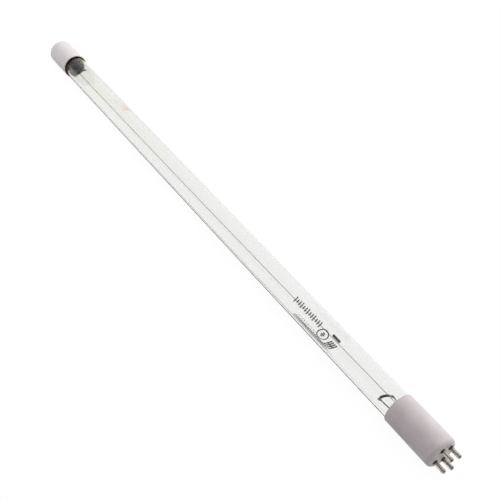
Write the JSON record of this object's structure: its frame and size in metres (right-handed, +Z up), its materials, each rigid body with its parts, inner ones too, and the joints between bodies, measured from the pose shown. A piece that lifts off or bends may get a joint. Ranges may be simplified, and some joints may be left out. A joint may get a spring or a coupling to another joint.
{
  "type": "germicidal ultraviolet lamp tube",
  "caption": "Slim clear quartz discharge lamp tube with white ceramic end shells, contact pins at one end and wires running back along the glass.",
  "frame": {"origin": "on the floor under the middle of the lamp, which lies on its two end shells", "axes": "+X along the lamp towards the contact pins, +Z up, the long side of the pin rectangle upright"},
  "size_m": [0.436, 0.018, 0.018],
  "materials": {
    "quartz": "clear polished quartz",
    "porcelain": "satin white, faintly glazed",
    "cement": "dark heat-cured cement",
    "contact": "nickel plated",
    "filament": "dark coated coil",
    "nickel_wire": "oxidised nickel",
    "foil": "dull foil"
  },
  "bodies": {
    "root": {"quartz_tube": "quartz", "pin_base_shell": "porcelain", "end_cap_shell": "porcelain", "base_cement": "cement", "cap_cement": "cement", "contact_pin_1": "contact", "contact_pin_2": "contact", "contact_pin_3": "contact", "contact_pin_4": "contact", "near_filament": "filament", "far_filament": "filament", "near_post_1": "nickel_wire", "near_post_2": "nickel_wire", "far_post_1": "nickel_wire", "far_post_2": "nickel_wire", "near_foil_1": "foil", "near_foil_2": "foil", "far_foil_1": "foil", "far_foil_2": "foil", "near_lead_1": "nickel_wire", "near_lead_2": "nickel_wire", "return_wire_1": "nickel_wire", "return_wire_2": "nickel_wire"}
  },
  "joints": []
}
